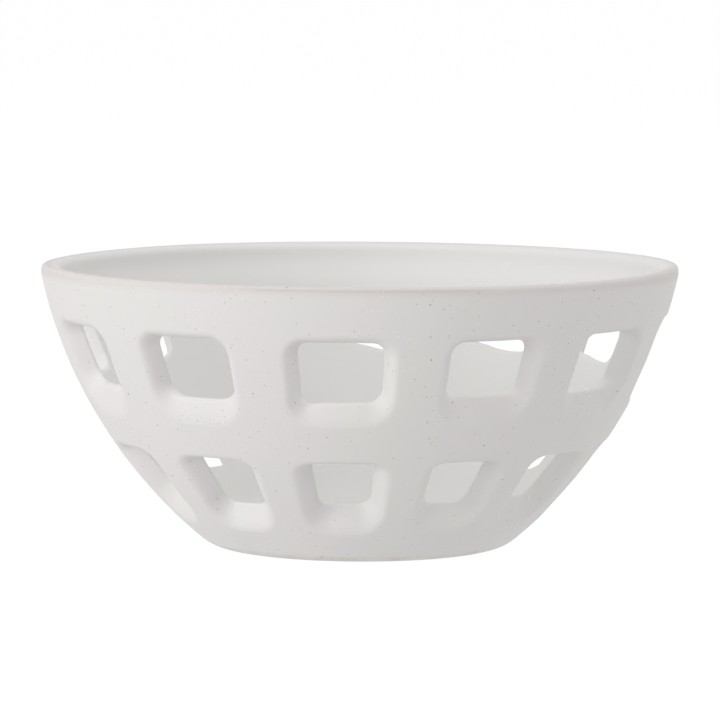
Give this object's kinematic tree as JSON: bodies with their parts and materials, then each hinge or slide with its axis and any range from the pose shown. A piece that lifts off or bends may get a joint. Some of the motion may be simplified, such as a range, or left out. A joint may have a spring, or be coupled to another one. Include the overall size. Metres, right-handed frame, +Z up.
{
  "type": "berry colander bowl",
  "caption": "Thick-walled round stoneware bowl with two rows of hand-cut rounded square windows, a plain band under a rounded rim, and a flat drained base.",
  "frame": {"origin": "centre of the base, on the table", "axes": "+Z up through the mouth; -Y towards the side that the picture shows; +X to its right"},
  "size_m": [0.24, 0.24, 0.107],
  "materials": {
    "matte_glaze": "smooth matte off-white glaze with fine dark speckles",
    "bare_stoneware": "unglazed fired clay, fine and dry"
  },
  "bodies": {
    "root": {"foot_ring": "bare_stoneware", "drain_floor": "matte_glaze", "heel": "matte_glaze", "lower_sills": "matte_glaze", "lower_posts": "matte_glaze", "lower_lintels": "matte_glaze", "upper_sills": "matte_glaze", "upper_posts": "matte_glaze", "upper_lintels": "matte_glaze", "rim": "matte_glaze"}
  },
  "joints": []
}
